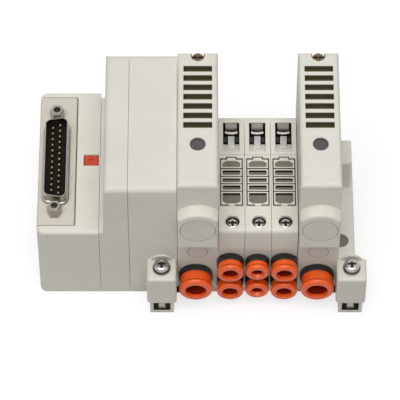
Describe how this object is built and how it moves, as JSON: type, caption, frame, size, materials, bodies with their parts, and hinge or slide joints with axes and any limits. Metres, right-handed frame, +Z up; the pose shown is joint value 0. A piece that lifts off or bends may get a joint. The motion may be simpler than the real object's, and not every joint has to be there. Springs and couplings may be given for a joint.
{
  "type": "pneumatic valve island",
  "caption": "Rail-mounted valve manifold base: swivelling D-sub connector, vented supply and exhaust blocks, open valve stations and push-in tube ports.",
  "frame": {"origin": "on the underside, under the middle of the whole island", "axes": "+X along the rail, from the connector to the end block; +Y from the tube ports to the back; +Z up"},
  "size_m": [0.131, 0.0798, 0.074],
  "materials": {
    "housing": "light warm grey moulded plastic with a fine matt grain",
    "carrier": "beige moulded plastic",
    "nickel": "bright nickel plate",
    "contact_carrier": "black moulded plastic",
    "gold_contacts": "gold plate",
    "red_key": "red moulded plastic",
    "silencer": "dark olive porous silencer medium",
    "bright_steel": "nickel-plated steel",
    "brown_steel": "passivated steel with a brown tint",
    "zinc_steel": "zinc-plated steel",
    "grey_plug": "dark grey moulded plastic",
    "blanking_disc": "warm grey moulded plastic",
    "fitting_body": "black moulded plastic, satin",
    "release_ring": "orange moulded plastic, satin",
    "gasket": "black rubber",
    "spring_steel": "stamped spring steel",
    "clamp_steel": "black oxide steel"
  },
  "bodies": {
    "island": {"base_gasket_1": "gasket", "base_gasket_2": "gasket", "base_gasket_3": "gasket", "clamp_screw_1": "bright_steel", "clamp_screw_2": "bright_steel", "clamp_screw_3": "bright_steel", "connector_housing": "housing", "cover_screw_left": "brown_steel", "cover_screw_right": "brown_steel", "end_block": "housing", "exhaust_plug_left": "blanking_disc", "exhaust_plug_right": "blanking_disc", "junction_cover": "housing", "junction_housing": "housing", "pilot_plug_left": "blanking_disc", "pilot_plug_right": "blanking_disc", "port_fittings_1": "fitting_body", "port_fittings_2": "fitting_body", "port_fittings_3": "fitting_body", "rail_bracket_left": "housing", "rail_bracket_right": "housing", "silencer_cover_left": "housing", "silencer_cover_right": "housing", "silencer_element_left": "silencer", "silencer_element_right": "silencer", "station_base_1": "housing", "station_base_2": "housing", "station_base_3": "housing", "supply_body_left": "housing", "supply_body_right": "housing", "supply_fitting_left": "fitting_body", "supply_fitting_right": "fitting_body", "tie_rods": "zinc_steel", "valve_latch_1": "spring_steel", "valve_latch_2": "spring_steel", "valve_latch_3": "spring_steel", "vent_plug_left": "grey_plug", "vent_plug_right": "grey_plug"},
    "connector": {"connector_carrier": "carrier", "dsub_shell": "nickel", "dsub_insulator": "contact_carrier", "dsub_pins": "gold_contacts", "dsub_jackscrews": "nickel"},
    "release_button": {"release_button": "red_key"},
    "supply_ring_left": {"supply_ring_left": "release_ring"},
    "supply_ring_right": {"supply_ring_right": "release_ring"},
    "port_ring_1a": {"port_ring_1a": "release_ring"},
    "port_ring_1b": {"port_ring_1b": "release_ring"},
    "port_ring_2a": {"port_ring_2a": "release_ring"},
    "port_ring_2b": {"port_ring_2b": "release_ring"},
    "port_ring_3a": {"port_ring_3a": "release_ring"},
    "port_ring_3b": {"port_ring_3b": "release_ring"},
    "rail_screw_left": {"rail_screw_left": "bright_steel"},
    "rail_clamp_left": {"rail_clamp_left": "clamp_steel"},
    "rail_screw_right": {"rail_screw_right": "bright_steel"},
    "rail_clamp_right": {"rail_clamp_right": "clamp_steel"}
  },
  "joints": [
    {"name": "carrier_swivel", "type": "hinge", "parent": "island", "child": "connector", "pos_m": [-0.05797, 0.0056, 0.0343], "axis": [0, -1, 0], "range_deg": [0, 90]},
    {"name": "button_press", "type": "slide", "parent": "island", "child": "release_button", "axis": [0, 0, -1], "range_m": [0, 0.001], "stiffness_N_per_m": 400},
    {"name": "supply_ring_left_press", "type": "slide", "parent": "island", "child": "supply_ring_left", "axis": [0, 1, 0], "range_m": [0, 0.0012], "stiffness_N_per_m": 1000},
    {"name": "supply_ring_right_press", "type": "slide", "parent": "island", "child": "supply_ring_right", "axis": [0, 1, 0], "range_m": [0, 0.0012], "stiffness_N_per_m": 1000},
    {"name": "port_ring_1a_press", "type": "slide", "parent": "island", "child": "port_ring_1a", "axis": [0, 1, 0], "range_m": [0, 0.0012], "stiffness_N_per_m": 1000},
    {"name": "port_ring_1b_press", "type": "slide", "parent": "island", "child": "port_ring_1b", "axis": [0, 1, 0], "range_m": [0, 0.0012], "stiffness_N_per_m": 1000},
    {"name": "port_ring_2a_press", "type": "slide", "parent": "island", "child": "port_ring_2a", "axis": [0, 1, 0], "range_m": [0, 0.0012], "stiffness_N_per_m": 1000},
    {"name": "port_ring_2b_press", "type": "slide", "parent": "island", "child": "port_ring_2b", "axis": [0, 1, 0], "range_m": [0, 0.0012], "stiffness_N_per_m": 1000},
    {"name": "port_ring_3a_press", "type": "slide", "parent": "island", "child": "port_ring_3a", "axis": [0, 1, 0], "range_m": [0, 0.0012], "stiffness_N_per_m": 1000},
    {"name": "port_ring_3b_press", "type": "slide", "parent": "island", "child": "port_ring_3b", "axis": [0, 1, 0], "range_m": [0, 0.0012], "stiffness_N_per_m": 1000},
    {"name": "rail_screw_left_turn", "type": "hinge", "parent": "island", "child": "rail_screw_left", "pos_m": [-0.01617, -0.03425, 0.02], "axis": [0, 0, 1], "range_deg": [0, 865]},
    {"name": "rail_clamp_left_slide", "type": "slide", "parent": "island", "child": "rail_clamp_left", "axis": [0, 0, -1], "range_m": [0, 0.0012]},
    {"name": "rail_screw_right_turn", "type": "hinge", "parent": "island", "child": "rail_screw_right", "pos_m": [0.05953, -0.03425, 0.02], "axis": [0, 0, 1], "range_deg": [0, 865]},
    {"name": "rail_clamp_right_slide", "type": "slide", "parent": "island", "child": "rail_clamp_right", "axis": [0, 0, -1], "range_m": [0, 0.0012]}
  ],
  "couplings": [
    {"joint": "rail_screw_left_turn", "follows": "rail_clamp_left_slide", "rad_per_m": 12566},
    {"joint": "rail_screw_right_turn", "follows": "rail_clamp_right_slide", "rad_per_m": 12566}
  ]
}
